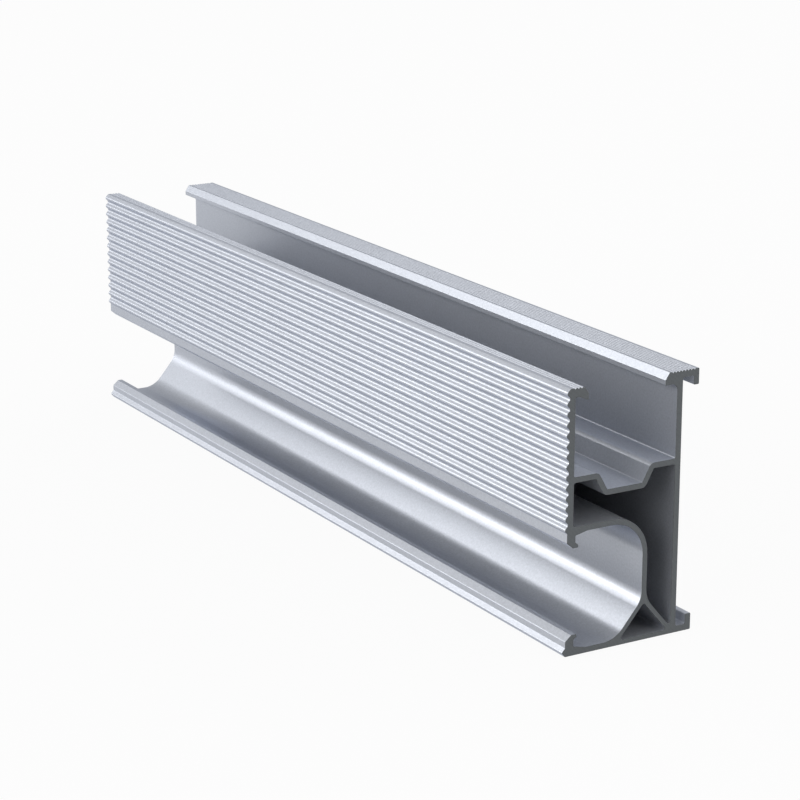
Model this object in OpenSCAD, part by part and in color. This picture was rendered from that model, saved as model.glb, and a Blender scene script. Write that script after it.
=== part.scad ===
// Solar mounting rail: a short cut length of an extruded aluminium section.
// The length runs along X, the ribbed front faces -Y and the flat base lies on Z = 0.
// The origin is at the middle of the base, and sizes are in millimetres.

/* [Rail] */
// Length of the piece of rail
rail_length = 235; // [60:5:4400]
// Height from the flat base to the top of the flange
rail_height = 60; // [57:0.5:90]
// Depth from the front face to the back face of the web
rail_depth = 29.3; // [27:0.1:40]

/* [Walls] */
// Thickness of the front wall
front_wall = 1.52; // [1.2:0.02:2]
// Thickness of the back web
web_wall = 1.44; // [1:0.02:2]
// Thickness of the folded shelf
shelf_wall = 1.3; // [0.8:0.05:1.8]
// Thickness of the ceiling and the upright wall of the side channel
channel_wall = 1.28; // [0.9:0.02:1.8]
// Thickness of the splayed legs and of the base between them
leg_wall = 1.06; // [0.8:0.02:1.5]
// Thickness of the base under the side channel
base_wall = 1.35; // [1:0.05:1.9]

/* [Front ribs] */
// Distance from one rib to the next
rib_pitch = 2.32; // [1.8:0.02:3]
// How far a rib stands out from the front face
rib_proud = 0.55; // [0.3:0.01:0.8]
// Slope of a rib's two flanks against the front face
rib_slope = 40; // [30:1:45]
// Radius of a rib's crest and of the valley beside it
rib_round = 0.5; // [0.2:0.05:0.6]
// Distance from the top of the rail down to the first crest
rib_start = 1.05; // [0.9:0.05:2]

/* [Top channel] */
// Depth of the top channel down to the shelf
top_depth = 19.6; // [12:0.1:22]
// Reach of the front lip over the channel, from the front face
lip_reach = 4.9; // [4:0.1:7]
// Height of the front lip at its tip
lip_height = 2.9; // [2.6:0.1:4]
// Thickness of the front lip at its root
lip_root = 2.05; // [1.5:0.05:2.4]
// Radius of the front lip's rounded shoulder
lip_shoulder = 0.9; // [0.3:0.1:1]
// Reach of the flange's nose over the channel, from the web
nose_reach = 3.2; // [2.6:0.1:5]
// Thickness of the flange's nose
nose_height = 2.8; // [2.3:0.1:4]
// Radius of the hollow corner under the nose
nose_fillet = 1.5; // [0.5:0.1:2]
// Height of the bevel on the lip and on the nose
bevel_height = 1.6; // [0.8:0.1:1.8]
// Width of the bevel on the lip and on the nose
bevel_width = 1.08; // [0.5:0.02:1.5]

/* [Grip grooves] */
// Distance from one fine groove to the next
groove_pitch = 0.81; // [0.7:0.01:1.2]
// Radius of a fine groove
groove_round = 0.33; // [0.25:0.01:0.34]
// Depth of a fine groove
groove_depth = 0.27; // [0.1:0.01:0.3]
// Distance from the front edge of the lip's top face to its first groove
lip_groove_start = 1.23; // [0.7:0.01:1.5]
// Distance from the bevel of the flange to its first groove
flange_groove_start = 0.9; // [0.7:0.05:1.5]
// Least plain margin left after the last groove
groove_margin = 0.65; // [0.5:0.05:1]

/* [Shelf and trough] */
// Width of the trough's floor
trough_floor = 9.1; // [5:0.1:12]
// Depth of the trough below the shelf
trough_depth = 4.05; // [2.5:0.05:4.5]
// Slope of the trough's sides
trough_slope = 61; // [50:1:75]
// Inner radius of each bend in the shelf
bend_round = 0.3; // [0.2:0.05:1]
// Radius where the top of the shelf meets the front wall and the web
shelf_round = 0.2; // [0.1:0.05:0.6]

/* [Side channel] */
// Height of the side channel inside
channel_height = 26.6; // [24:0.1:28]
// Radius of the channel's upper back corner
corner_round = 8; // [3:0.5:9]
// Radius where the channel's floor turns up into the leg
bowl_round = 6.5; // [3:0.5:7]
// Height of the two slot lips from the channel's floor and ceiling
slot_lip = 3.45; // [3:0.05:5]
// Thickness of the slot lips
slot_lip_wall = 2.18; // [1.9:0.02:2.8]
// How far the tip of a slot lip hooks inwards
slot_hook = 0.74; // [0.5:0.02:1.2]
// Height of the hooked tip of a slot lip
slot_tip = 0.6; // [0.55:0.05:0.8]
// Slope of the chamfers outside and inside a slot lip
slot_slope = 41; // [30:1:48]
// Height of the taper that stiffens the root of a slot lip
root_rise = 0.7; // [0.4:0.05:1]
// Length of that taper
root_run = 3.1; // [2:0.1:5]

/* [Splayed legs] */
// Clear width between the upright wall and the web
upright_gap = 6.7; // [5:0.1:9]
// Height above the base where the legs leave the upright wall
leg_top = 9.46; // [8.5:0.02:12]
// Height above the base where the back leg meets the web
leg_foot = 1.6; // [1.2:0.05:2.4]
// Radius where a leg leaves the upright wall
leg_round = 4.5; // [1:0.5:5]

/* [Back edges] */
// Reach of the flange behind the web
flange_back = 4.27; // [3.4:0.01:8]
// Thickness of the flange behind the web
flange_wall = 1.6; // [1.2:0.1:2.4]
// Height of the flange's turned-down edge
flange_edge = 3.65; // [3:0.05:6]
// Thickness of the flange's turned-down edge
flange_edge_wall = 1.37; // [1:0.01:2]
// Reach of the foot behind the web
foot_back = 4.02; // [3.4:0.01:8]
// Thickness of the foot
foot_wall = 1.5; // [1:0.1:2.5]
// Height of the foot's turned-up edge
foot_edge = 3.85; // [3.4:0.05:6]
// Thickness of the foot's turned-up edge
foot_edge_wall = 1.5; // [1:0.05:2]

/* [Toe] */
// How far the toe stands out from the front face
toe_out = 0.85; // [0.4:0.05:1.5]
// Height of the toe's sharp edge above the base
toe_height = 1; // [0.6:0.05:1.4]
// Height at which the toe runs back into the front face
toe_top = 2.15; // [1.8:0.05:2.5]

/* [Edges] */
// Radius of the outer edges
edge_round = 0.25; // [0.1:0.05:0.27]
// Radius of the hollow corners
inner_round = 0.5; // [0.2:0.05:0.6]

/* [Hidden] */
$fn = 48;

// Main lines of the section: y runs back from the front face, and z up from the base
web_y = rail_depth - web_wall;
wall_back_y = web_y - upright_gap;
wall_y = wall_back_y - channel_wall;
nose_y = web_y - nose_reach;
flange_y = rail_depth + flange_back;
foot_y = rail_depth + foot_back;
shelf_z = rail_height - top_depth;
ceiling_z = base_wall + channel_height;

// Ribs: the sharp wave that the crests and valleys are rounded from, and as many ribs as fit above the side channel
rib_blunt = rib_round * (1 / cos(rib_slope) - 1);
rib_crest_y = -rib_proud - rib_blunt;
rib_valley_y = rib_crest_y + rib_pitch / 2 * tan(rib_slope);
rib_first_z = rail_height - rib_start;
rib_count = floor((rib_first_z - ceiling_z) / rib_pitch) + 1;
lip_edge_y = rib_crest_y + rib_start * tan(rib_slope);

// Front lip: the flat part under its root and the width of its tip
lip_flat = 0.9;
lip_tip = 0.5;

// Trough: midway between front wall and web, with the sideways run of its slopes
trough_mid = (front_wall + web_y) / 2;
trough_run = trough_depth / tan(trough_slope);
slope_shift = shelf_wall * tan(trough_slope / 2);

// Splayed legs: both leave the upright wall at the slope that takes the back leg to the web
leg_slope = atan((leg_top - leg_foot) / upright_gap);
bowl_y = wall_y - (leg_top - base_wall) / tan(leg_slope);
hollow_mid = (wall_y + wall_back_y) / 2;
hollow_apex = leg_top + channel_wall / 2 * tan(leg_slope) - leg_wall / cos(leg_slope);
hollow_half = (hollow_apex - leg_wall) / tan(leg_slope);

// Radius where the taper of a slot lip meets the channel's floor or ceiling
root_round = 2;

// A rounding piece reaches this far past its tangent points, and this far past its corner
lap = 0.0002;
bite = 0.2;

// Foremost point of the section is the toe's rounded edge or a rib's crest
toe_tip_y = arc_centre(base_and_foot()[0], toe()[1], toe()[0])[0] - edge_round;
middle_y = (max(flange_y, foot_y) + min(toe_tip_y, -rib_proud)) / 2;

function unit(v) = v / norm(v);
function spot(corner) = [corner[0], corner[1]];
function backwards(list) = [for (i = [len(list) - 1 : -1 : 0]) list[i]];

// Centre of the arc that rounds a corner [y, z, radius] between its two neighbours
function arc_centre(before, corner, after) =
    let (
        to_before = unit(spot(before) - spot(corner)),
        to_after = unit(spot(after) - spot(corner)),
        half_angle = acos(to_before * to_after) / 2
    ) spot(corner) + unit(to_before + to_after) * corner[2] / sin(half_angle);

// A closed outline from corners [y, z, radius], listed anticlockwise
module rounded(corners) {
    last = len(corners) - 1;
    difference() {
        union() {
            polygon([for (corner = corners) spot(corner)]);
            for (i = [0 : last])
                rounding(corners[i > 0 ? i - 1 : last], corners[i], corners[i < last ? i + 1 : 0], false);
        }
        for (i = [0 : last])
            rounding(corners[i > 0 ? i - 1 : last], corners[i], corners[i < last ? i + 1 : 0], true);
    }
}

// What the arc adds to a hollow corner, or takes off an outer one
module rounding(before, corner, after, outer) {
    p = spot(corner);
    to_before = unit(spot(before) - p);
    to_after = unit(spot(after) - p);
    centre = arc_centre(before, corner, after);
    tangent = (centre - p) * to_before;
    wedge = [p + to_before * tangent, p + unit(p - centre) * bite, p + to_after * tangent];
    turns_out = cross(to_after, to_before) > 0;
    if (turns_out == outer)
        difference() {
            polygon(outer ? wedge : backwards(wedge));
            translate(centre)
                circle(corner[2] + lap);
        }
}

// Underside of the base, and the foot with its turned-up edge
function base_and_foot() = [
    [0, 0, edge_round],
    [foot_y, 0, edge_round],
    [foot_y, foot_edge, edge_round],
    [foot_y - foot_edge_wall, foot_edge, edge_round],
    [foot_y - foot_edge_wall, foot_wall, inner_round],
    [rail_depth, foot_wall, inner_round]
];

// Flange with its turned-down edge at the back and its bevelled nose over the top channel
function flange() = [
    [rail_depth, rail_height - flange_wall, inner_round],
    [flange_y - flange_edge_wall, rail_height - flange_wall, inner_round],
    [flange_y - flange_edge_wall, rail_height - flange_edge, edge_round],
    [flange_y, rail_height - flange_edge, edge_round],
    [flange_y, rail_height, edge_round],
    [nose_y + bevel_width, rail_height, edge_round],
    [nose_y, rail_height - bevel_height, edge_round],
    [nose_y, rail_height - nose_height, edge_round],
    [web_y, rail_height - nose_height, nose_fillet]
];

// Upper face of the folded shelf, from the web to the front wall
function shelf_top() = [
    [web_y, shelf_z, shelf_round],
    [trough_mid + trough_floor / 2 + trough_run, shelf_z, bend_round + shelf_wall],
    [trough_mid + trough_floor / 2, shelf_z - trough_depth, bend_round],
    [trough_mid - trough_floor / 2, shelf_z - trough_depth, bend_round],
    [trough_mid - trough_floor / 2 - trough_run, shelf_z, bend_round + shelf_wall],
    [front_wall, shelf_z, shelf_round]
];

// Lower face of the folded shelf, one wall thickness under the upper face
function shelf_under() =
    let (outer_bend = bend_round + shelf_wall, under_z = shelf_z - shelf_wall) [
        [web_y, under_z, inner_round],
        [trough_mid + trough_floor / 2 + trough_run + slope_shift, under_z, bend_round],
        [trough_mid + trough_floor / 2 + slope_shift, under_z - trough_depth, outer_bend],
        [trough_mid - trough_floor / 2 - slope_shift, under_z - trough_depth, outer_bend],
        [trough_mid - trough_floor / 2 - trough_run - slope_shift, under_z, bend_round],
        [front_wall, under_z, inner_round]
    ];

// Front lip over the top channel, from its root round the tip to the front edge
function front_lip() = [
    [front_wall, rail_height - lip_root, inner_round],
    [front_wall + lip_flat, rail_height - lip_root, edge_round],
    [lip_reach - lip_tip, rail_height - lip_height, edge_round / 2],
    [lip_reach, rail_height - lip_height, edge_round],
    [lip_reach, rail_height - bevel_height, lip_shoulder],
    [lip_reach - bevel_width, rail_height, lip_shoulder],
    [lip_edge_y, rail_height, edge_round]
];

// Ribs down the front wall, the last one running out into the plain strip below
function ribs() = [
    for (i = [0 : rib_count - 1])
        let (crest_z = rib_first_z - i * rib_pitch)
            each [
                [rib_crest_y, crest_z, rib_round],
                i < rib_count - 1
                    ? [rib_valley_y, crest_z - rib_pitch / 2, rib_round]
                    : [0, crest_z + rib_crest_y / tan(rib_slope), edge_round]
            ]
];

// A lip of the side slot, from the front face inwards: it stands on the floor (side 1) or hangs from the ceiling (side -1)
function slot_lip_on(root_z, side) =
    let (
        slant = tan(slot_slope),
        heights = [
            [0, slot_lip - front_wall * slant, edge_round],
            [front_wall, slot_lip, edge_round],
            [slot_lip_wall + slot_hook, slot_lip, edge_round],
            [slot_lip_wall + slot_hook, slot_lip - slot_tip, edge_round],
            [slot_lip_wall, slot_lip - slot_tip - slot_hook * slant, edge_round],
            [slot_lip_wall, root_rise, edge_round],
            [slot_lip_wall + root_run, 0, root_round]
        ]
    ) [for (h = heights) [h[0], root_z + side * h[1], h[2]]];

// Back of the side channel: rounded ceiling corner, upright wall, front leg and bowl
function channel_back() = [
    [wall_y, ceiling_z, corner_round],
    [wall_y, leg_top, leg_round],
    [bowl_y, base_wall, bowl_round]
];

// Toe along the foot of the front face
function toe() = [
    [0, toe_top, edge_round],
    [-toe_out, toe_height, edge_round]
];

// The outer outline, once round the section
function outline() = concat(
    base_and_foot(),
    flange(),
    shelf_top(),
    front_lip(),
    ribs(),
    slot_lip_on(ceiling_z, -1),
    channel_back(),
    backwards(slot_lip_on(base_wall, 1)),
    toe()
);

// Closed chamber between shelf, web and side channel
function chamber() = concat(shelf_under(), [
    [front_wall, ceiling_z + channel_wall, inner_round],
    [wall_back_y, ceiling_z + channel_wall, corner_round + channel_wall],
    [wall_back_y, leg_top, leg_round],
    [web_y, leg_foot, inner_round]
]);

// Triangular hollow between the splayed legs
function leg_hollow() = [
    [hollow_mid - hollow_half, leg_wall, inner_round],
    [hollow_mid + hollow_half, leg_wall, inner_round],
    [hollow_mid, hollow_apex, inner_round]
];

// As many fine grooves in the top face as fit from y_first up to the margin before y_end
module grip_grooves(y_first, y_end) {
    count = floor((y_end - groove_margin - y_first) / groove_pitch) + 1;
    for (i = [0 : 1 : count - 1])
        translate([y_first + i * groove_pitch, rail_height + groove_round - groove_depth])
            circle(groove_round);
}

module section() {
    difference() {
        rounded(outline());
        rounded(chamber());
        rounded(leg_hollow());
        grip_grooves(lip_edge_y + lip_groove_start, lip_reach - bevel_width);
        grip_grooves(nose_y + bevel_width + flange_groove_start, flange_y);
    }
}

module rail() {
    color("silver")
        rotate([90, 0, 90])
            linear_extrude(rail_length, center = true)
                translate([-middle_y, 0])
                    section();
}

rail();
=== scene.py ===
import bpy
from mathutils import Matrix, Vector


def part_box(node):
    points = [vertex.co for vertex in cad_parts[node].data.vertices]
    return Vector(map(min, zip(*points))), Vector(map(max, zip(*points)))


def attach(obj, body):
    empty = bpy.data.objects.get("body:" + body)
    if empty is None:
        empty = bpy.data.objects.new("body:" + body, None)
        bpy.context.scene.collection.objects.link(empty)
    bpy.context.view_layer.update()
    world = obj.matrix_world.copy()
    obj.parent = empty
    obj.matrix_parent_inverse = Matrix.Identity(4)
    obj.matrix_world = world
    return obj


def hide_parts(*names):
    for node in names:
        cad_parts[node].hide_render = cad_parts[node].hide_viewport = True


bl_info = {
    "name": "Solar mounting rail",
    "version": (1, 0, 0),
    "blender": (4, 5, 0),
    "location": "3D View > Sidebar > Mounting rail",
    "description": "Makes a cut length of an extruded solar mounting rail, and the studio round it",
    "category": "Add Mesh",
}

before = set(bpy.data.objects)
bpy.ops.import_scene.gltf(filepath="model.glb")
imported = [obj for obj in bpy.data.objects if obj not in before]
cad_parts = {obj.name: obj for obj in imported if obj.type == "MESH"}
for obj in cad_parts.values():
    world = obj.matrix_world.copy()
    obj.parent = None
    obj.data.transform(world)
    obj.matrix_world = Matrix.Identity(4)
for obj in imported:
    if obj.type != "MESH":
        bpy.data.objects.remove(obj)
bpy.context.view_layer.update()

import math

import bpy
from bpy.props import FloatProperty, FloatVectorProperty, IntProperty, PointerProperty
from mathutils import Matrix, Vector
from mathutils.geometry import tessellate_polygon

CAD_NODE = "rail"
ROLLED_MAP = "Rolled out"
ARC_STEP = math.radians(8)

low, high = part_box(CAD_NODE)
cad_size = high - low


def length(name, description, millimetres):
    """A length that the panel shows in scene units, with its default given in millimetres."""
    return FloatProperty(
        name=name,
        description=description,
        default=millimetres / 1000,
        min=0,
        precision=5,
        unit="LENGTH",
    )


def slope(name, description, degrees):
    """An angle that the panel shows in degrees."""
    return FloatProperty(
        name=name,
        description=description,
        default=math.radians(degrees),
        min=0,
        max=math.pi / 2,
        subtype="ANGLE",
        unit="ROTATION",
    )


def share(name, description, value):
    """A plain number from 0 to 1."""
    return FloatProperty(
        name=name,
        description=description,
        default=value,
        min=0,
        max=1,
        subtype="FACTOR",
    )


def tint(name, description, value):
    """A colour in linear light."""
    return FloatVectorProperty(
        name=name,
        description=description,
        default=value,
        min=0,
        max=1,
        size=3,
        subtype="COLOR",
    )


class MOUNTINGRAIL_PG_section(bpy.types.PropertyGroup):
    """Sizes of the extruded section"""

    rail_length: length("Length", "Length of the piece of rail", cad_size.x * 1000)
    rail_height: length("Height", "Height from the base to the top of the flange", cad_size.z * 1000)
    rail_depth: length("Depth", "Depth from the front face to the back of the web", 29.3)
    front_wall: length("Front wall", "Thickness of the front wall", 1.52)
    web_wall: length("Web", "Thickness of the back web", 1.44)
    shelf_wall: length("Shelf", "Thickness of the folded shelf", 1.3)
    channel_wall: length("Channel wall", "Thickness of the side channel's ceiling and upright wall", 1.28)
    leg_wall: length("Leg", "Thickness of the splayed legs", 1.06)
    base_wall: length("Base", "Thickness of the base under the side channel", 1.35)
    rib_pitch: length("Rib pitch", "Distance from one rib to the next", 2.32)
    rib_proud: length("Rib height", "How far a rib stands out from the front face", 0.55)
    rib_slope: slope("Rib slope", "Slope of a rib's flanks against the front face", 46)
    rib_round: length("Rib radius", "Radius of a rib's crest and valley", 0.6)
    rib_start: length("First rib", "Distance from the top down to the first crest", 1.05)
    top_depth: length("Top channel depth", "Depth of the top channel down to the shelf", 19.6)
    lip_reach: length("Lip reach", "Reach of the front lip over the top channel", 4.9)
    lip_height: length("Lip height", "Height of the front lip at its tip", 2.9)
    lip_root: length("Lip root", "Thickness of the front lip at its root", 2.05)
    lip_flat: length("Lip flat", "Flat stretch under the root of the front lip", 0.9)
    lip_tip: length("Lip tip", "Width of the front lip's tip", 0.5)
    lip_shoulder: length("Lip shoulder", "Radius of the front lip's shoulder", 0.9)
    nose_reach: length("Nose reach", "Reach of the flange's nose over the top channel", 3.2)
    nose_height: length("Nose height", "Thickness of the flange's nose", 2.8)
    nose_fillet: length("Nose fillet", "Radius of the hollow corner under the nose", 1.5)
    bevel_height: length("Bevel height", "Height of the bevel on lip and nose", 1.6)
    bevel_width: length("Bevel width", "Width of the bevel on lip and nose", 1.08)
    bevel_round: length("Bevel radius", "Radius of the upper edge of the nose's bevel", 0.1)
    groove_pitch: length("Groove pitch", "Distance from one fine groove to the next", 0.81)
    groove_width: length("Groove width", "Width of a fine groove", 0.52)
    groove_depth: length("Groove depth", "Depth of a fine groove", 0.3)
    lip_groove_start: length("First lip groove", "From the lip's front edge to its first groove", 1.16)
    flange_groove_start: length("First flange groove", "From the flange's bevel to its first groove", 0.9)
    groove_margin: length("Groove margin", "Least plain margin after the last groove", 0.65)
    trough_floor: length("Trough floor", "Width of the trough's floor", 9.1)
    trough_depth: length("Trough depth", "Depth of the trough below the shelf", 4.05)
    trough_slope: slope("Trough slope", "Slope of the trough's sides", 61)
    bend_round: length("Bend radius", "Inner radius of the shelf's bends", 0.3)
    shelf_round: length("Shelf radius", "Radius where the top of the shelf meets both walls", 0.4)
    channel_height: length("Side channel", "Height of the side channel inside", 26.6)
    corner_round: length("Channel corner", "Radius of the channel's upper back corner", 8)
    bowl_round: length("Channel bowl", "Radius where the channel's floor turns up", 6.5)
    slot_lip: length("Slot lip", "Height of the two slot lips", 3.45)
    slot_lip_wall: length("Slot lip wall", "Thickness of the slot lips", 2.18)
    slot_hook: length("Slot hook", "How far a slot lip's tip hooks inwards", 0.74)
    slot_tip: length("Slot tip", "Height of a slot lip's hooked tip", 0.6)
    slot_slope: slope("Slot slope", "Slope of the chamfers on a slot lip", 41)
    root_rise: length("Root rise", "Height of the taper at a slot lip's root", 0.7)
    root_run: length("Root run", "Length of the taper at a slot lip's root", 3.1)
    root_round: length("Root radius", "Radius where that taper ends", 2)
    upright_gap: length("Upright gap", "Clear width between upright wall and web", 6.7)
    leg_top: length("Leg top", "Height where the legs leave the upright wall", 9.46)
    leg_foot: length("Leg foot", "Height where the back leg meets the web", 1.6)
    leg_round: length("Leg radius", "Radius where a leg leaves the upright wall", 5.8)
    flange_back: length("Flange reach", "Reach of the flange behind the web", 4.27)
    flange_wall: length("Flange", "Thickness of the flange behind the web", 1.6)
    flange_edge: length("Flange edge", "Height of the flange's turned-down edge", 3.65)
    flange_edge_wall: length("Flange edge wall", "Thickness of the flange's edge", 1.37)
    foot_back: length("Foot reach", "Reach of the foot behind the web", 4.02)
    foot_wall: length("Foot", "Thickness of the foot", 1.5)
    foot_edge: length("Foot edge", "Height of the foot's turned-up edge", 3.85)
    foot_edge_wall: length("Foot edge wall", "Thickness of the foot's edge", 1.5)
    toe_out: length("Toe reach", "How far the toe stands out from the front face", 0.85)
    toe_height: length("Toe height", "Height of the toe's edge above the base", 1.06)
    toe_top: length("Toe top", "Height where the toe meets the front face", 2.03)
    edge_round: length("Edge radius", "Radius of the outer edges", 0.25)
    inner_round: length("Inner radius", "Radius of the hollow corners", 0.5)
    cut_break: length("Broken edge", "Width of the broken edge round a sawn end", 0.08)
    stations: IntProperty(
        name="Stations",
        description="Cross sections along the length",
        default=24,
        min=2,
    )


class MOUNTINGRAIL_PG_finish(bpy.types.PropertyGroup):
    """Colours and roughness of the metal"""

    metal_colour: tint("Metal", "Colour of the drawn aluminium", (0.418, 0.435, 0.47))
    metal_roughness: share("Metal roughness", "Roughness of the drawn aluminium", 0.31)
    metal_share: share("Metal share", "Share of clear metallic reflection under the matt skin", 0.64)
    edge_colour: tint("Edge tint", "Tint of the metal's reflection at a glancing angle", (0.6, 0.65, 0.78))
    # The sawn colour is painted shade: a dark grey that stands for the shade on the ends, which face away
    # from the lamps.
    sawn_painted_shade_colour: tint("Sawn ends", "Colour of the sawn ends", (0.108, 0.117, 0.123))
    sawn_roughness: share("Sawn roughness", "Roughness of the sawn ends", 0.62)


class MOUNTINGRAIL_PG_studio(bpy.types.PropertyGroup):
    """Camera, lamps and floor"""

    camera_place: FloatVectorProperty(
        name="Camera",
        description="Place of the camera",
        default=(0.542269, -0.306754, 0.206325),
        size=3,
        unit="LENGTH",
    )
    camera_azimuth: slope("Azimuth", "Turn of the camera's line of sight from the rail's front", 59.601)
    camera_dip: slope("Dip", "How far the camera looks down", 16.152)
    camera_lens: FloatProperty(
        name="Lens",
        description="Focal length of the camera in millimetres",
        default=115.103,
        min=1,
        subtype="DISTANCE_CAMERA",
    )
    floor_colour: tint("Floor", "Colour of the floor", (0.45, 0.45, 0.45))
    world_light: FloatProperty(
        name="World light",
        description="Strength of the light from all round",
        default=0.68,
        min=0,
    )


def turned_out(before, corner, after):
    """True where the path, walked anticlockwise, turns outwards round this corner."""
    return (after - corner).cross(before - corner) > 0


def rounded(corners, side):
    """A path round the corners (y, z, radius): points (place, normal before, normal after).

    The corners are listed anticlockwise. side is 1 where the metal lies inside the path and
    -1 round a hollow.
    """
    path = []
    for i, (y, z, radius) in enumerate(corners):
        corner = Vector((y, z))
        before = Vector(corners[i - 1][:2])
        after = Vector(corners[(i + 1) % len(corners)][:2])
        to_before = (before - corner).normalized()
        to_after = (after - corner).normalized()
        half = to_before.angle(to_after) / 2
        centre = corner + (to_before + to_after).normalized() * radius / math.sin(half)
        bend = 1 if turned_out(before, corner, after) else -1
        sweep = (math.pi - 2 * half) * bend
        start = corner + to_before * radius / math.tan(half) - centre
        steps = max(2, math.ceil(abs(sweep) / ARC_STEP))
        for k in range(steps + 1):
            arm = Matrix.Rotation(sweep * k / steps, 2) @ start
            normal = arm.normalized() * bend * side
            path.append((centre + arm, normal, normal))
    return path


def grooved(path, centres, s):
    """The path with a fine groove cut into its top run at each centre."""
    half, depth = s.groove_width / 2, s.groove_depth
    up = Vector((0, 1))
    rear, front = Vector((-depth, half)).normalized(), Vector((depth, half)).normalized()
    out = []
    for i, point in enumerate(path):
        out.append(point)
        here, there = point[0], path[(i + 1) % len(path)][0]
        if min(here.y, there.y) < s.rail_height - 1e-6:
            continue
        for y in sorted((c for c in centres if there.x < c < here.x), reverse=True):
            out += [
                (Vector((y + half, s.rail_height)), up, rear),
                (Vector((y, s.rail_height - depth)), rear, front),
                (Vector((y - half, s.rail_height)), front, up),
            ]
    return out


class Section:
    """The extruded section: y runs back from the front face and z up from the base."""

    def __init__(self, s):
        self.s = s
        self.web_y = s.rail_depth - s.web_wall
        self.wall_back_y = self.web_y - s.upright_gap
        self.wall_y = self.wall_back_y - s.channel_wall
        self.nose_y = self.web_y - s.nose_reach
        self.flange_y = s.rail_depth + s.flange_back
        self.foot_y = s.rail_depth + s.foot_back
        self.shelf_z = s.rail_height - s.top_depth
        self.ceiling_z = s.base_wall + s.channel_height
        self.rib_crest_y = -s.rib_proud - s.rib_round * (1 / math.cos(s.rib_slope) - 1)
        self.lip_edge_y = self.rib_crest_y + s.rib_start * math.tan(s.rib_slope)
        self.trough_middle = (s.front_wall + self.web_y) / 2
        self.leg_rise = (s.leg_top - s.leg_foot) / s.upright_gap

    def base_and_foot(self):
        s = self.s
        inner_y = self.foot_y - s.foot_edge_wall
        return [
            (0, 0, s.edge_round),
            (self.foot_y, 0, s.edge_round),
            (self.foot_y, s.foot_edge, s.edge_round),
            (inner_y, s.foot_edge, s.edge_round),
            (inner_y, s.foot_wall, s.inner_round),
            (s.rail_depth, s.foot_wall, s.inner_round),
        ]

    def flange(self):
        s = self.s
        top, edge_y = s.rail_height, self.flange_y - s.flange_edge_wall
        return [
            (s.rail_depth, top - s.flange_wall, s.inner_round),
            (edge_y, top - s.flange_wall, s.inner_round),
            (edge_y, top - s.flange_edge, s.edge_round),
            (self.flange_y, top - s.flange_edge, s.edge_round),
            (self.flange_y, top, s.edge_round),
            (self.nose_y + s.bevel_width, top, s.bevel_round),
            (self.nose_y, top - s.bevel_height, s.edge_round),
            (self.nose_y, top - s.nose_height, s.edge_round),
            (self.web_y, top - s.nose_height, s.nose_fillet),
        ]

    def shelf(self, under):
        """The folded shelf's upper face, or its lower one, from the web to the front wall."""
        s = self.s
        z = self.shelf_z - (s.shelf_wall if under else 0)
        shift = s.shelf_wall * math.tan(s.trough_slope / 2) if under else 0
        half = s.trough_floor / 2 + shift
        run = s.trough_depth / math.tan(s.trough_slope)
        wide, tight = s.bend_round + s.shelf_wall, s.bend_round
        rim, floor, end = (tight, wide, s.inner_round) if under else (wide, tight, s.shelf_round)
        middle = self.trough_middle
        return [
            (self.web_y, z, end),
            (middle + half + run, z, rim),
            (middle + half, z - s.trough_depth, floor),
            (middle - half, z - s.trough_depth, floor),
            (middle - half - run, z, rim),
            (s.front_wall, z, end),
        ]

    def front_lip(self):
        s = self.s
        top = s.rail_height
        return [
            (s.front_wall, top - s.lip_root, s.inner_round),
            (s.front_wall + s.lip_flat, top - s.lip_root, s.edge_round),
            (s.lip_reach - s.lip_tip, top - s.lip_height, s.edge_round / 2),
            (s.lip_reach, top - s.lip_height, s.edge_round),
            (s.lip_reach, top - s.bevel_height, s.lip_shoulder),
            (s.lip_reach - s.bevel_width, top, s.lip_shoulder),
            (self.lip_edge_y, top, s.edge_round),
        ]

    def ribs(self):
        s = self.s
        first = s.rail_height - s.rib_start
        count = math.floor((first - self.ceiling_z) / s.rib_pitch) + 1
        valley_y = self.rib_crest_y + s.rib_pitch / 2 * math.tan(s.rib_slope)
        corners = []
        for i in range(count):
            crest_z = first - i * s.rib_pitch
            corners.append((self.rib_crest_y, crest_z, s.rib_round))
            corners.append((valley_y, crest_z - s.rib_pitch / 2, s.rib_round))
        run_out = crest_z + self.rib_crest_y / math.tan(s.rib_slope)
        return corners[:-1] + [(0, run_out, s.edge_round)]

    def slot_lip(self, root_z, side):
        """A lip of the side slot, from the front inwards, on the floor (side 1) or the ceiling (-1)."""
        s = self.s
        slant = math.tan(s.slot_slope)
        hook_y = s.slot_lip_wall + s.slot_hook
        heights = [
            (0, s.slot_lip - s.front_wall * slant, s.edge_round),
            (s.front_wall, s.slot_lip, s.edge_round),
            (hook_y, s.slot_lip, s.edge_round),
            (hook_y, s.slot_lip - s.slot_tip, s.edge_round),
            (s.slot_lip_wall, s.slot_lip - s.slot_tip - s.slot_hook * slant, s.edge_round),
            (s.slot_lip_wall, s.root_rise, s.edge_round),
            (s.slot_lip_wall + s.root_run, 0, s.root_round),
        ]
        return [(y, root_z + side * z, radius) for y, z, radius in heights]

    def channel_back(self):
        s = self.s
        bowl_y = self.wall_y - (s.leg_top - s.base_wall) / self.leg_rise
        return [
            (self.wall_y, self.ceiling_z, s.corner_round),
            (self.wall_y, s.leg_top, s.leg_round),
            (bowl_y, s.base_wall, s.bowl_round),
        ]

    def toe(self):
        s = self.s
        return [(0, s.toe_top, s.edge_round), (-s.toe_out, s.toe_height, s.edge_round)]

    def groove_centres(self):
        s = self.s
        runs = [
            (self.lip_edge_y + s.lip_groove_start, s.lip_reach - s.bevel_width),
            (self.nose_y + s.bevel_width + s.flange_groove_start, self.flange_y),
        ]
        centres = []
        for first, end in runs:
            count = math.floor((end - s.groove_margin - first) / s.groove_pitch) + 1
            centres += [first + i * s.groove_pitch for i in range(count)]
        return centres

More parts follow.
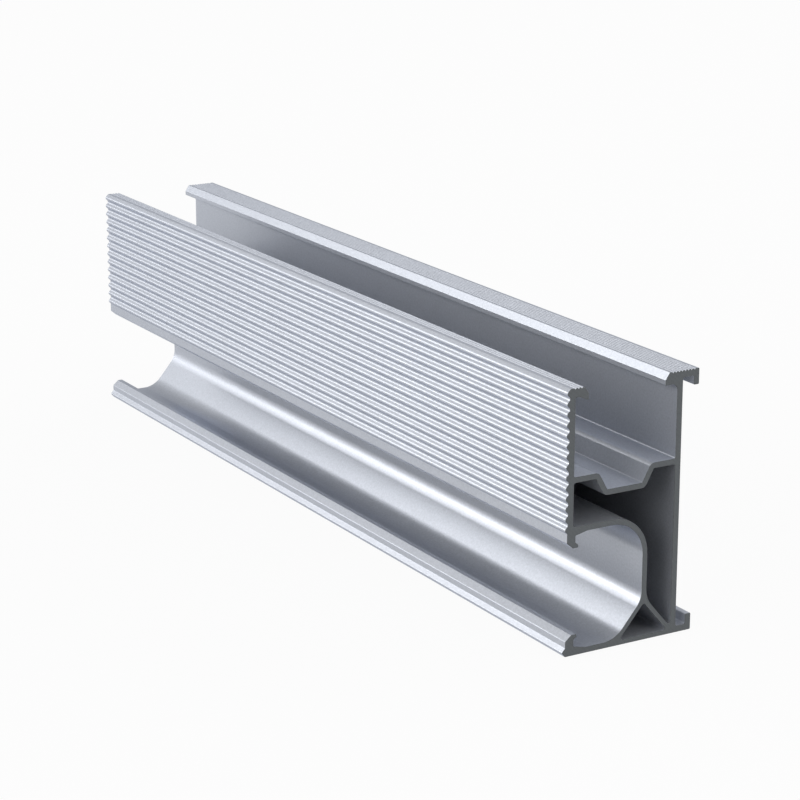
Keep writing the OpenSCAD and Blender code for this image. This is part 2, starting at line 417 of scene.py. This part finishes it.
    def outline(self):
        corners = (
            self.base_and_foot()
            + self.flange()
            + self.shelf(under=False)
            + self.front_lip()
            + self.ribs()
            + self.slot_lip(self.ceiling_z, -1)
            + self.channel_back()
            + self.slot_lip(self.s.base_wall, 1)[::-1]
            + self.toe()
        )
        return grooved(rounded(corners, 1), self.groove_centres(), self.s)

    def chamber(self):
        s = self.s
        over_z = self.ceiling_z + s.channel_wall
        corners = self.shelf(under=True) + [
            (s.front_wall, over_z, s.inner_round),
            (self.wall_back_y, over_z, s.corner_round + s.channel_wall),
            (self.wall_back_y, s.leg_top, s.leg_round),
            (self.web_y, s.leg_foot, s.inner_round),
        ]
        return rounded(corners, -1)

    def leg_hollow(self):
        s = self.s
        middle = (self.wall_y + self.wall_back_y) / 2
        wall_on_slope = s.leg_wall * math.hypot(1, self.leg_rise)
        apex = s.leg_top + s.channel_wall / 2 * self.leg_rise - wall_on_slope
        half = (apex - s.leg_wall) / self.leg_rise
        corners = [
            (middle - half, s.leg_wall, s.inner_round),
            (middle + half, s.leg_wall, s.inner_round),
            (middle, apex, s.inner_round),
        ]
        return rounded(corners, -1)

    def paths(self):
        """The three closed paths, with the section's box centred on y = 0."""
        found = [self.outline(), self.chamber(), self.leg_hollow()]
        ys = [place.x for place, _, _ in found[0]]
        shift = Vector(((min(ys) + max(ys)) / 2, 0))
        return [[(place - shift, a, b) for place, a, b in path] for path in found]


class MeshParts:
    """Vertices, faces, corner normals and rolled-out coordinates, gathered before they become a mesh."""

    def __init__(self):
        self.places = []
        self.faces = []
        self.normals = []
        self.rolled = []
        self.slots = []

    def ring(self, x, points):
        """Adds one vertex for each point of a section at x, and gives their numbers."""
        first = len(self.places)
        self.places += [(x, p.x, p.y) for p in points]
        return range(first, len(self.places))

    def face(self, corners, slot):
        """Adds a face from corners (vertex, normal, rolled-out place)."""
        self.faces.append([c[0] for c in corners])
        self.normals += [c[1] for c in corners]
        self.rolled += [c[2] for c in corners]
        self.slots.append(slot)


def sideways(normal):
    """A section's normal in space."""
    return Vector((0, normal.x, normal.y))


def sweep_path(parts, path, side, s):
    """Draws a path out along X, with a narrow broken edge at both ends, and gives its two end rings."""
    half, edge = s.rail_length / 2, s.cut_break
    places = [p for p, _, _ in path]
    inset = [p - (a + b).normalized() * edge for p, a, b in path]
    stations = [-half + edge + (s.rail_length - 2 * edge) * k / s.stations for k in range(s.stations + 1)]
    xs = [-half, *stations, half]
    rings = [parts.ring(x, inset if abs(x) == half else places) for x in xs]
    around = 0.0
    for i in range(len(path)):
        j = (i + 1) % len(path)
        step = (places[j] - places[i]).length
        start, end = sideways(path[i][2]), sideways(path[j][1])
        for k in range(len(rings) - 1):
            corners = []
            for point, ring, normal, roll in (
                (i, k, start, around),
                (j, k, end, around + step),
                (j, k + 1, end, around + step),
                (i, k + 1, start, around),
            ):
                at_end = ring in (0, len(rings) - 1)
                if at_end:
                    normal = Vector((math.copysign(1, xs[ring]), 0, 0))
                corners.append((rings[ring][point], normal, (roll, xs[ring])))
            broken = k in (0, len(rings) - 2)
            parts.face(corners if side > 0 else corners[::-1], 1 if broken else 0)
        around += step
    return rings[0], rings[-1]


def close_end(parts, rings, direction):
    """Fills a sawn end between the outline's ring and the rings round the hollows."""
    numbers = [n for ring in rings for n in ring]
    loops = [[Vector((parts.places[n][1], parts.places[n][2], 0)) for n in ring] for ring in rings]
    flat = [p for loop in loops for p in loop]
    normal = Vector((direction, 0, 0))
    for triangle in tessellate_polygon(loops):
        a, b, c = (flat[i] for i in triangle)
        forward = (b - a).cross(c - a).z * direction > 0
        ordered = triangle if forward else triangle[::-1]
        parts.face([(numbers[i], normal, (flat[i].x, flat[i].y)) for i in ordered], 1)


def build_mesh(name, parts):
    """A mesh with these faces, corner normals and rolled-out map."""
    mesh = bpy.data.meshes.new(name)
    mesh.from_pydata(parts.places, [], parts.faces)
    mesh.polygons.foreach_set("material_index", parts.slots)
    mesh.polygons.foreach_set("use_smooth", [True] * len(parts.faces))
    layer = mesh.uv_layers.new(name=ROLLED_MAP)
    layer.uv.foreach_set("vector", [value for pair in parts.rolled for value in pair])
    mesh.update()
    mesh.normals_split_custom_set([tuple(n) for n in parts.normals])
    return mesh


class Nodes:
    """Short calls for a material's or a world's node tree."""

    def __init__(self, tree):
        self.tree = tree
        tree.nodes.clear()

    def add(self, kind, **settings):
        node = self.tree.nodes.new("ShaderNode" + kind)
        for key, value in settings.items():
            setattr(node, key, value)
        return node

    def join(self, source, target):
        self.tree.links.new(source, target)

    def math(self, operation, a, b):
        node = self.add("Math", operation=operation)
        for socket, value in zip(node.inputs, (a, b)):
            if isinstance(value, (int, float)):
                socket.default_value = value
            else:
                self.join(value, socket)
        return node.outputs[0]

    def scaled(self, vector, factors):
        node = self.add("VectorMath", operation="MULTIPLY")
        self.join(vector, node.inputs[0])
        node.inputs[1].default_value = factors
        return node.outputs["Vector"]

    def noise(self, vector, detail=2.0, roughness=0.5):
        node = self.add("TexNoise")
        self.join(vector, node.inputs["Vector"])
        node.inputs["Scale"].default_value = 1.0
        node.inputs["Detail"].default_value = detail
        node.inputs["Roughness"].default_value = roughness
        return node.outputs["Fac"]

    def spread(self, value, low, high, from_low=0.25, from_high=0.75):
        """value taken from its own range to low..high."""
        node = self.add("MapRange")
        self.join(value, node.inputs["Value"])
        node.inputs["From Min"].default_value = from_low
        node.inputs["From Max"].default_value = from_high
        node.inputs["To Min"].default_value = low
        node.inputs["To Max"].default_value = high
        return node.outputs["Result"]

    def bump(self, height, distance, strength, below=None):
        """The relief's normal, on top of that of the relief below where there is one."""
        node = self.add("Bump")
        self.join(height, node.inputs["Height"])
        node.inputs["Distance"].default_value = distance
        node.inputs["Strength"].default_value = strength
        if below is not None:
            self.join(below, node.inputs["Normal"])
        return node.outputs["Normal"]


# How often each marking repeats in a metre: across the die lines and along them, or all ways.
BROAD_LINES = (420, 3, 1)
FINE_LINES = (2600, 9, 1)
GRAIN = (2000, 2000, 2000)
CLOUDS = (70, 70, 70)
SAWN_GRAIN = (1500, 1500, 1500)
SAW_MARKS = 420

# How far each marking changes the brightness, as a share of it.
LINES_SHADE = 0.006
GRAIN_SHADE = 0.13
CLOUDS_SHADE = 0.015
SAWN_GRAIN_SHADE = 0.1
SAW_MARKS_SHADE = 0.03

# How far the fine lines and the sawn grain change the roughness.
LINES_ROUGHNESS = 0.01
SAWN_GRAIN_ROUGHNESS = 0.06

# Height of the relief in metres, and its strength.
GRAIN_RELIEF = (0.00002, 0.22)
SAWN_GRAIN_RELIEF = (0.00003, 0.3)
SAW_MARKS_RELIEF = (0.00001, 0.2)

SAWN_METAL_SHARE = 0.6
SAW_AXLE = (0, -0.16, -0.12)


def shaded(nodes, colour, brightness):
    """colour times a brightness that varies over the surface."""
    node = nodes.add("VectorMath", operation="SCALE")
    node.inputs[0].default_value = colour
    nodes.join(brightness, node.inputs["Scale"])
    return node.outputs["Vector"]


def drawn_aluminium(finish):
    """Extruded aluminium with a matt etched skin: fine die lines along it and a sandy grain."""
    material = bpy.data.materials.new("Drawn aluminium")
    material.use_nodes = True
    nodes = Nodes(material.node_tree)
    rolled = nodes.add("UVMap", uv_map=ROLLED_MAP).outputs["UV"]
    place = nodes.add("TexCoord").outputs["Object"]
    broad_lines = nodes.noise(nodes.scaled(rolled, BROAD_LINES), 3)
    fine_lines = nodes.noise(nodes.scaled(rolled, FINE_LINES), 2)
    grain = nodes.noise(nodes.scaled(place, GRAIN), 2, 0.6)
    clouds = nodes.noise(nodes.scaled(place, CLOUDS), 3)
    brightness = nodes.spread(broad_lines, -LINES_SHADE, LINES_SHADE)
    for marking in (
        nodes.spread(fine_lines, -LINES_SHADE, LINES_SHADE),
        nodes.spread(grain, -GRAIN_SHADE, GRAIN_SHADE, 0.2, 0.8),
        nodes.spread(clouds, -CLOUDS_SHADE, CLOUDS_SHADE),
        1.0,
    ):
        brightness = nodes.math("ADD", brightness, marking)
    roughness = nodes.math(
        "ADD", nodes.spread(fine_lines, -LINES_ROUGHNESS, LINES_ROUGHNESS), finish.metal_roughness
    )
    shader = nodes.add("BsdfPrincipled")
    shader.inputs["Metallic"].default_value = finish.metal_share
    shader.inputs["Specular Tint"].default_value = (*finish.edge_colour, 1)
    nodes.join(shaded(nodes, finish.metal_colour, brightness), shader.inputs["Base Color"])
    nodes.join(roughness, shader.inputs["Roughness"])
    nodes.join(nodes.bump(grain, *GRAIN_RELIEF), shader.inputs["Normal"])
    nodes.join(shader.outputs["BSDF"], nodes.add("OutputMaterial").inputs["Surface"])
    return material


def sawn_aluminium(finish):
    """The sawn ends: dull grey, darkened by painted shade, with faint curved marks of the saw round its
    axle.
    """
    material = bpy.data.materials.new("Sawn aluminium")
    material.use_nodes = True
    nodes = Nodes(material.node_tree)
    place = nodes.add("TexCoord").outputs["Object"]
    grain = nodes.noise(nodes.scaled(place, SAWN_GRAIN), 3, 0.6)
    from_axle = nodes.add("VectorMath", operation="SUBTRACT")
    nodes.join(place, from_axle.inputs[0])
    from_axle.inputs[1].default_value = SAW_AXLE
    wave = nodes.add("TexWave", wave_type="RINGS", rings_direction="X")
    nodes.join(from_axle.outputs["Vector"], wave.inputs["Vector"])
    wave.inputs["Scale"].default_value = SAW_MARKS
    wave.inputs["Distortion"].default_value = 2.5
    wave.inputs["Detail"].default_value = 3
    marks = wave.outputs["Fac"]
    brightness = nodes.math(
        "ADD",
        nodes.spread(grain, 1 - SAWN_GRAIN_SHADE, 1 + SAWN_GRAIN_SHADE),
        nodes.spread(marks, -SAW_MARKS_SHADE, SAW_MARKS_SHADE, 0, 1),
    )
    smoothest = finish.sawn_roughness - SAWN_GRAIN_ROUGHNESS
    roughest = finish.sawn_roughness + SAWN_GRAIN_ROUGHNESS
    relief = nodes.bump(grain, *SAWN_GRAIN_RELIEF, below=nodes.bump(marks, *SAW_MARKS_RELIEF))
    shader = nodes.add("BsdfPrincipled")
    shader.inputs["Metallic"].default_value = SAWN_METAL_SHARE
    # Painted shade: the sawn colour's dark grey stands for the shade on the ends.
    nodes.join(shaded(nodes, finish.sawn_painted_shade_colour, brightness), shader.inputs["Base Color"])
    nodes.join(nodes.spread(grain, smoothest, roughest), shader.inputs["Roughness"])
    nodes.join(relief, shader.inputs["Normal"])
    nodes.join(shader.outputs["BSDF"], nodes.add("OutputMaterial").inputs["Surface"])
    return material


class MOUNTINGRAIL_OT_rail(bpy.types.Operator):
    """Make the rail: the extruded section drawn out to its length, with two sawn ends"""

    bl_idname = "mounting_rail.rail"
    bl_label = "Rail"

    def execute(self, context):
        s = context.scene.mounting_rail_section
        finish = context.scene.mounting_rail_finish
        parts = MeshParts()
        sides = (1, -1, -1)
        ends = [sweep_path(parts, path, side, s) for path, side in zip(Section(s).paths(), sides)]
        close_end(parts, [rings[0] for rings in ends], -1)
        close_end(parts, [rings[1] for rings in ends], 1)
        mesh = build_mesh("rail_extrusion", parts)
        mesh.materials.append(drawn_aluminium(finish))
        mesh.materials.append(sawn_aluminium(finish))
        piece = bpy.data.objects.new("rail_extrusion", mesh)
        context.scene.collection.objects.link(piece)
        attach(piece, "root")
        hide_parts(CAD_NODE)
        return {"FINISHED"}


# The lamps stand on a sphere round the rail. turn runs from the rail's front towards its far end
# and rise up from the floor, both in degrees. The sizes are in metres.
LAMP_DISTANCE = 2
LAMPS = (
    # name, turn, rise, width, height, brightness of its face
    ("left_strip", 44, 6, 0.95, 0.36, 3.8),
    ("far_left_strip", 68, 6, 0.8, 0.36, 0.9),
    ("left_panel", 52, 22, 0.95, 1.0, 2.4),
    ("far_left_panel", 76, 21, 0.7, 0.85, 0.3),
    ("front_panel", 0, 24, 2.3, 1.0, 3.8),
    ("far_strip", 97, 6.5, 0.9, 0.36, 1.3),
    ("back_panel", 180, 30, 2.2, 0.8, 3.4),
    ("near_panel", -105, 30, 1.2, 0.8, 3.2),
    ("top_panel", 0, 89, 1.0, 1.0, 1.4),
)


def add_lamp(scene, name, turn, rise, width, height, brightness):
    """A soft rectangular lamp that faces the rail."""
    turn, rise = math.radians(turn), math.radians(rise)
    outward = Vector((-math.sin(turn) * math.cos(rise), -math.cos(turn) * math.cos(rise), math.sin(rise)))
    lamp = bpy.data.lights.new(name, "AREA")
    lamp.shape = "RECTANGLE"
    lamp.size, lamp.size_y = width, height
    lamp.energy = brightness * math.pi * width * height
    ob = bpy.data.objects.new(name, lamp)
    ob.location = outward * LAMP_DISTANCE
    ob.rotation_euler = outward.to_track_quat("Z", "Y").to_euler()
    scene.collection.objects.link(ob)


FLOOR_REACH = 6
FLOOR_GLOW = 0.94


def background_share(nodes):
    """1 for the rays that show the background, straight to the camera or by way of metal or glass."""
    rays = nodes.add("LightPath").outputs
    seen = nodes.math("MAXIMUM", rays["Is Camera Ray"], rays["Is Glossy Ray"])
    return nodes.math("MAXIMUM", seen, rays["Is Transmission Ray"])


def pale_floor(studio):
    """A plain pale floor that glows as the background does and keeps the rail's shadow."""
    material = bpy.data.materials.new("Pale floor")
    material.use_nodes = True
    nodes = Nodes(material.node_tree)
    matt = nodes.add("BsdfDiffuse")
    matt.inputs["Color"].default_value = (*studio.floor_colour, 1)
    glow = nodes.add("Emission")
    mix = nodes.add("MixShader")
    nodes.join(nodes.math("MULTIPLY", background_share(nodes), FLOOR_GLOW), mix.inputs["Fac"])
    nodes.join(matt.outputs["BSDF"], mix.inputs[1])
    nodes.join(glow.outputs["Emission"], mix.inputs[2])
    nodes.join(mix.outputs["Shader"], nodes.add("OutputMaterial").inputs["Surface"])
    return material


def studio_world(scene, studio):
    """Even pale light from all round."""
    world = bpy.data.worlds.new("Studio")
    world.use_nodes = True
    nodes = Nodes(world.node_tree)
    sky = nodes.add("Background")
    sky.inputs["Strength"].default_value = studio.world_light
    sky.inputs["Color"].default_value = (1, 1, 1, 1)
    nodes.join(sky.outputs["Background"], nodes.add("OutputWorld").inputs["Surface"])
    scene.world = world


class MOUNTINGRAIL_OT_studio(bpy.types.Operator):
    """Set the stage: a pale floor, soft lamps and the camera"""

    bl_idname = "mounting_rail.studio"
    bl_label = "Studio"

    def execute(self, context):
        scene = context.scene
        studio = scene.mounting_rail_studio
        corners = [(x * FLOOR_REACH, y * FLOOR_REACH, 0) for x, y in ((-1, -1), (1, -1), (1, 1), (-1, 1))]
        mesh = bpy.data.meshes.new("floor")
        mesh.from_pydata(corners, [], [(0, 1, 2, 3)])
        mesh.materials.append(pale_floor(studio))
        floor = bpy.data.objects.new("floor", mesh)
        scene.collection.objects.link(floor)
        studio_world(scene, studio)
        for lamp in LAMPS:
            add_lamp(scene, *lamp)
        turn, dip = studio.camera_azimuth, studio.camera_dip
        sight = Vector((-math.sin(turn) * math.cos(dip), math.cos(turn) * math.cos(dip), -math.sin(dip)))
        lens = bpy.data.cameras.new("camera")
        lens.sensor_fit = "HORIZONTAL"
        lens.sensor_width = 36
        lens.lens = studio.camera_lens
        lens.clip_start = 0.01
        camera = bpy.data.objects.new("camera", lens)
        camera.location = studio.camera_place
        camera.rotation_euler = sight.to_track_quat("-Z", "Y").to_euler()
        scene.collection.objects.link(camera)
        scene.camera = camera
        scene.view_settings.view_transform = "Standard"
        return {"FINISHED"}


class MOUNTINGRAIL_PT_panel(bpy.types.Panel):
    """Sizes, finish and studio of the mounting rail"""

    bl_label = "Mounting rail"
    bl_idname = "MOUNTINGRAIL_PT_panel"
    bl_space_type = "VIEW_3D"
    bl_region_type = "UI"
    bl_category = "Mounting rail"

    def draw(self, context):
        scene = context.scene
        for group in (scene.mounting_rail_section, scene.mounting_rail_finish, scene.mounting_rail_studio):
            column = self.layout.column(align=True)
            for key in group.__annotations__:
                column.prop(group, key)
        self.layout.operator(MOUNTINGRAIL_OT_rail.bl_idname)
        self.layout.operator(MOUNTINGRAIL_OT_studio.bl_idname)


CLASSES = (
    MOUNTINGRAIL_PG_section,
    MOUNTINGRAIL_PG_finish,
    MOUNTINGRAIL_PG_studio,
    MOUNTINGRAIL_OT_rail,
    MOUNTINGRAIL_OT_studio,
    MOUNTINGRAIL_PT_panel,
)


def register():
    for cls in CLASSES:
        bpy.utils.register_class(cls)
    bpy.types.Scene.mounting_rail_section = PointerProperty(type=MOUNTINGRAIL_PG_section)
    bpy.types.Scene.mounting_rail_finish = PointerProperty(type=MOUNTINGRAIL_PG_finish)
    bpy.types.Scene.mounting_rail_studio = PointerProperty(type=MOUNTINGRAIL_PG_studio)


def unregister():
    del bpy.types.Scene.mounting_rail_section
    del bpy.types.Scene.mounting_rail_finish
    del bpy.types.Scene.mounting_rail_studio
    for cls in reversed(CLASSES):
        bpy.utils.unregister_class(cls)


def main():
    """Makes the rail and its studio."""
    register()
    bpy.ops.mounting_rail.rail()
    bpy.ops.mounting_rail.studio()


if __name__ == "__main__":
    main()
